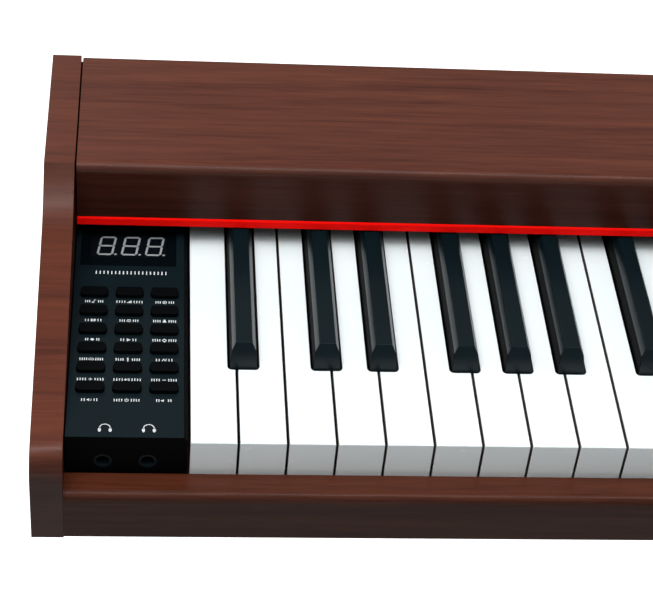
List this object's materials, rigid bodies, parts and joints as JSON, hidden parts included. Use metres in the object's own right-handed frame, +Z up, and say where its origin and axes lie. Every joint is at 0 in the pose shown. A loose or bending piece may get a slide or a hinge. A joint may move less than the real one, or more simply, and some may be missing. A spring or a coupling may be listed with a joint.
{
  "type": "digital piano on stand",
  "caption": "Slim full-size digital piano in a wood-grain case with a button panel and display at the bass end, on a panel stand with pedals and a music rest.",
  "frame": {"origin": "on the floor, under the middle of the footprint", "axes": "+X to the treble end, -Y towards the player, +Z up"},
  "size_m": [1.3712, 0.37, 0.9715],
  "materials": {
    "wood_foil": "wood-grain foil on board, satin",
    "felt_red": "felt",
    "felt_dark": "felt",
    "abs_black": "fine-textured",
    "window": "smoked, polished",
    "display": "unlit segments",
    "circuit_board": "solder mask",
    "jack_plastic": "moulded",
    "steel": "zinc plated",
    "rubber": "silicone",
    "floor_rubber": "moulded",
    "speaker": "painted",
    "pedal_brass": "polished",
    "button_black": "satin",
    "key_white": "polished",
    "key_black": "satin"
  },
  "bodies": {
    "case": {"left_cheek": "wood_foil", "right_cheek": "wood_foil", "top_cover": "wood_foil", "back_panel": "wood_foil", "bottom_board": "wood_foil", "key_slip": "wood_foil", "key_felt": "felt_red", "control_panel": "abs_black", "right_end_block": "abs_black", "display_window": "window", "display_digits": "display", "panel_board": "circuit_board", "headphone_jacks": "jack_plastic", "rear_jack_panel": "abs_black", "key_frame": "steel", "key_pivot_rod": "steel", "stop_felts": "felt_dark", "contact_board": "circuit_board", "contact_rubber": "rubber", "main_board": "circuit_board", "speakers": "speaker", "case_screws": "steel", "left_leg": "wood_foil", "right_leg": "wood_foil", "modesty_board": "wood_foil", "pedal_box": "wood_foil", "pedal_rod": "steel", "floor_pads": "floor_rubber", "stand_brackets": "steel", "stand_bolts": "steel"},
    "music_rest": {"music_rest": "wood_foil", "rest_tabs": "steel"},
    "button_row_1": {"button_row_1": "button_black"},
    "button_row_2": {"button_row_2": "button_black"},
    "button_row_3": {"button_row_3": "button_black"},
    "button_row_4": {"button_row_4": "button_black"},
    "button_row_5": {"button_row_5": "button_black"},
    "button_row_6": {"button_row_6": "button_black"},
    "soft_pedal": {"soft_pedal": "pedal_brass"},
    "sostenuto_pedal": {"sostenuto_pedal": "pedal_brass"},
    "sustain_pedal": {"sustain_pedal": "pedal_brass"},
    "key_a0": {"key_a0": "key_white"},
    "key_a0_sharp": {"key_a0_sharp": "key_black"},
    "key_b0": {"key_b0": "key_white"},
    "key_c1": {"key_c1": "key_white"},
    "key_c1_sharp": {"key_c1_sharp": "key_black"},
    "key_d1": {"key_d1": "key_white"},
    "key_d1_sharp": {"key_d1_sharp": "key_black"},
    "key_e1": {"key_e1": "key_white"},
    "key_f1": {"key_f1": "key_white"},
    "key_f1_sharp": {"key_f1_sharp": "key_black"},
    "key_g1": {"key_g1": "key_white"},
    "key_g1_sharp": {"key_g1_sharp": "key_black"},
    "key_a1": {"key_a1": "key_white"},
    "key_a1_sharp": {"key_a1_sharp": "key_black"},
    "key_b1": {"key_b1": "key_white"},
    "white_keys_c2_b4": {"white_keys_c2_b4": "key_white"},
    "black_keys_c2_b4": {"black_keys_c2_b4": "key_black"},
    "white_keys_c5_c8": {"white_keys_c5_c8": "key_white"},
    "black_keys_c5_b7": {"black_keys_c5_b7": "key_black"}
  },
  "joints": [
    {"name": "key_a0_press", "type": "hinge", "parent": "case", "child": "key_a0", "pos_m": [0, 0.089, 0.711], "axis": [1, 0, 0], "range_deg": [0, 2.86], "stiffness_Nm_per_rad": 0.4, "springref_deg": -22.92},
    {"name": "key_a0_sharp_press", "type": "hinge", "parent": "case", "child": "key_a0_sharp", "pos_m": [0, 0.089, 0.711], "axis": [1, 0, 0], "range_deg": [0, 2.86], "stiffness_Nm_per_rad": 0.4, "springref_deg": -22.92},
    {"name": "key_b0_press", "type": "hinge", "parent": "case", "child": "key_b0", "pos_m": [0, 0.089, 0.711], "axis": [1, 0, 0], "range_deg": [0, 2.86], "stiffness_Nm_per_rad": 0.4, "springref_deg": -22.92},
    {"name": "key_c1_press", "type": "hinge", "parent": "case", "child": "key_c1", "pos_m": [0, 0.089, 0.711], "axis": [1, 0, 0], "range_deg": [0, 2.86], "stiffness_Nm_per_rad": 0.4, "springref_deg": -22.92},
    {"name": "key_c1_sharp_press", "type": "hinge", "parent": "case", "child": "key_c1_sharp", "pos_m": [0, 0.089, 0.711], "axis": [1, 0, 0], "range_deg": [0, 2.86], "stiffness_Nm_per_rad": 0.4, "springref_deg": -22.92},
    {"name": "key_d1_press", "type": "hinge", "parent": "case", "child": "key_d1", "pos_m": [0, 0.089, 0.711], "axis": [1, 0, 0], "range_deg": [0, 2.86], "stiffness_Nm_per_rad": 0.4, "springref_deg": -22.92},
    {"name": "key_d1_sharp_press", "type": "hinge", "parent": "case", "child": "key_d1_sharp", "pos_m": [0, 0.089, 0.711], "axis": [1, 0, 0], "range_deg": [0, 2.86], "stiffness_Nm_per_rad": 0.4, "springref_deg": -22.92},
    {"name": "key_e1_press", "type": "hinge", "parent": "case", "child": "key_e1", "pos_m": [0, 0.089, 0.711], "axis": [1, 0, 0], "range_deg": [0, 2.86], "stiffness_Nm_per_rad": 0.4, "springref_deg": -22.92},
    {"name": "key_f1_press", "type": "hinge", "parent": "case", "child": "key_f1", "pos_m": [0, 0.089, 0.711], "axis": [1, 0, 0], "range_deg": [0, 2.86], "stiffness_Nm_per_rad": 0.4, "springref_deg": -22.92},
    {"name": "key_f1_sharp_press", "type": "hinge", "parent": "case", "child": "key_f1_sharp", "pos_m": [0, 0.089, 0.711], "axis": [1, 0, 0], "range_deg": [0, 2.86], "stiffness_Nm_per_rad": 0.4, "springref_deg": -22.92},
    {"name": "key_g1_press", "type": "hinge", "parent": "case", "child": "key_g1", "pos_m": [0, 0.089, 0.711], "axis": [1, 0, 0], "range_deg": [0, 2.86], "stiffness_Nm_per_rad": 0.4, "springref_deg": -22.92},
    {"name": "key_g1_sharp_press", "type": "hinge", "parent": "case", "child": "key_g1_sharp", "pos_m": [0, 0.089, 0.711], "axis": [1, 0, 0], "range_deg": [0, 2.86], "stiffness_Nm_per_rad": 0.4, "springref_deg": -22.92},
    {"name": "key_a1_press", "type": "hinge", "parent": "case", "child": "key_a1", "pos_m": [0, 0.089, 0.711], "axis": [1, 0, 0], "range_deg": [0, 2.86], "stiffness_Nm_per_rad": 0.4, "springref_deg": -22.92},
    {"name": "key_a1_sharp_press", "type": "hinge", "parent": "case", "child": "key_a1_sharp", "pos_m": [0, 0.089, 0.711], "axis": [1, 0, 0], "range_deg": [0, 2.86], "stiffness_Nm_per_rad": 0.4, "springref_deg": -22.92},
    {"name": "key_b1_press", "type": "hinge", "parent": "case", "child": "key_b1", "pos_m": [0, 0.089, 0.711], "axis": [1, 0, 0], "range_deg": [0, 2.86], "stiffness_Nm_per_rad": 0.4, "springref_deg": -22.92},
    {"name": "white_keys_c2_b4_press", "type": "hinge", "parent": "case", "child": "white_keys_c2_b4", "pos_m": [0, 0.089, 0.711], "axis": [1, 0, 0], "range_deg": [0, 2.86], "stiffness_Nm_per_rad": 8.4, "springref_deg": -22.92},
    {"name": "black_keys_c2_b4_press", "type": "hinge", "parent": "case", "child": "black_keys_c2_b4", "pos_m": [0, 0.089, 0.711], "axis": [1, 0, 0], "range_deg": [0, 2.86], "stiffness_Nm_per_rad": 6, "springref_deg": -22.92},
    {"name": "white_keys_c5_c8_press", "type": "hinge", "parent": "case", "child": "white_keys_c5_c8", "pos_m": [0, 0.089, 0.711], "axis": [1, 0, 0], "range_deg": [0, 2.86], "stiffness_Nm_per_rad": 8.8, "springref_deg": -22.92},
    {"name": "black_keys_c5_b7_press", "type": "hinge", "parent": "case", "child": "black_keys_c5_b7", "pos_m": [0, 0.089, 0.711], "axis": [1, 0, 0], "range_deg": [0, 2.86], "stiffness_Nm_per_rad": 6, "springref_deg": -22.92},
    {"name": "button_row_1_press", "type": "slide", "parent": "case", "child": "button_row_1", "axis": [0, 0, -1], "range_m": [0, 0.0008], "stiffness_N_per_m": 600, "springref_m": -0.002},
    {"name": "button_row_2_press", "type": "slide", "parent": "case", "child": "button_row_2", "axis": [0, 0, -1], "range_m": [0, 0.0008], "stiffness_N_per_m": 600, "springref_m": -0.002},
    {"name": "button_row_3_press", "type": "slide", "parent": "case", "child": "button_row_3", "axis": [0, 0, -1], "range_m": [0, 0.0008], "stiffness_N_per_m": 600, "springref_m": -0.002},
    {"name": "button_row_4_press", "type": "slide", "parent": "case", "child": "button_row_4", "axis": [0, 0, -1], "range_m": [0, 0.0008], "stiffness_N_per_m": 600, "springref_m": -0.002},
    {"name": "button_row_5_press", "type": "slide", "parent": "case", "child": "button_row_5", "axis": [0, 0, -1], "range_m": [0, 0.0008], "stiffness_N_per_m": 600, "springref_m": -0.002},
    {"name": "button_row_6_press", "type": "slide", "parent": "case", "child": "button_row_6", "axis": [0, 0, -1], "range_m": [0, 0.0008], "stiffness_N_per_m": 600, "springref_m": -0.002},
    {"name": "soft_pedal_press", "type": "hinge", "parent": "case", "child": "soft_pedal", "pos_m": [0, 0.03, 0.085], "axis": [1, 0, 0], "range_deg": [0, 4.5], "stiffness_Nm_per_rad": 4, "springref_deg": -17.19},
    {"name": "sostenuto_pedal_press", "type": "hinge", "parent": "case", "child": "sostenuto_pedal", "pos_m": [0, 0.03, 0.085], "axis": [1, 0, 0], "range_deg": [0, 4.5], "stiffness_Nm_per_rad": 4, "springref_deg": -17.19},
    {"name": "sustain_pedal_press", "type": "hinge", "parent": "case", "child": "sustain_pedal", "pos_m": [0, 0.03, 0.085], "axis": [1, 0, 0], "range_deg": [0, 4.5], "stiffness_Nm_per_rad": 4, "springref_deg": -17.19},
    {"name": "music_rest_lift", "type": "slide", "parent": "case", "child": "music_rest", "axis": [0, 0, 1], "range_m": [0, 0.02]}
  ]
}
